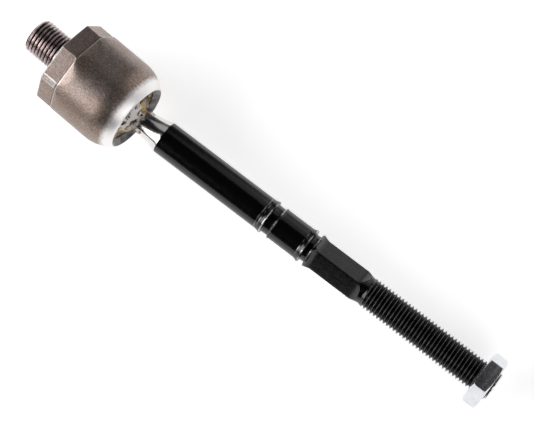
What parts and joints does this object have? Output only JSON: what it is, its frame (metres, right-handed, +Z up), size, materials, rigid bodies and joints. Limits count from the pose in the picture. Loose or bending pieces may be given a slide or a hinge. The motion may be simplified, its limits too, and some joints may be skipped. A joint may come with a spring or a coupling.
{
  "type": "inner tie rod",
  "caption": "Steering axial joint: threaded socket housing with a ball-jointed rod, boot grooves, square flats, outer thread and jam nut.",
  "frame": {"origin": "on the rack stud's axis, at the shoulder that seats on the rack", "axes": "+X along the housing towards the rod, +Z up as the part lies on a level floor"},
  "size_m": [0.215, 0.0395, 0.0355],
  "materials": {
    "forged_steel": "matte phosphated forging, brown-grey, bright on the rolled lip",
    "race_plastic": "tan moulded acetal with grease",
    "black_steel": "satin black, bare and polished on the ball and neck",
    "zinc_plate": "clear zinc plate"
  },
  "bodies": {
    "housing": {"socket_housing": "forged_steel"},
    "race": {"ball_race": "race_plastic"},
    "rod": {"tie_rod": "black_steel"},
    "nut": {"jam_nut": "zinc_plate"}
  },
  "joints": [
    {"name": "race_turn", "type": "hinge", "parent": "housing", "child": "race", "pos_m": [0.0246, 0, 0], "axis": [1, 0, 0], "continuous": true},
    {"name": "rod_swing", "type": "hinge", "parent": "race", "child": "rod", "pos_m": [0.0246, 0, 0], "axis": [0, 0.6029, 0.7978], "range_deg": [-29.53, 20.47]},
    {"name": "nut_travel", "type": "slide", "parent": "rod", "child": "nut", "axis": [0.9969, 0.0631, -0.0477], "range_m": [-0.0496, 0.001]}
  ]
}
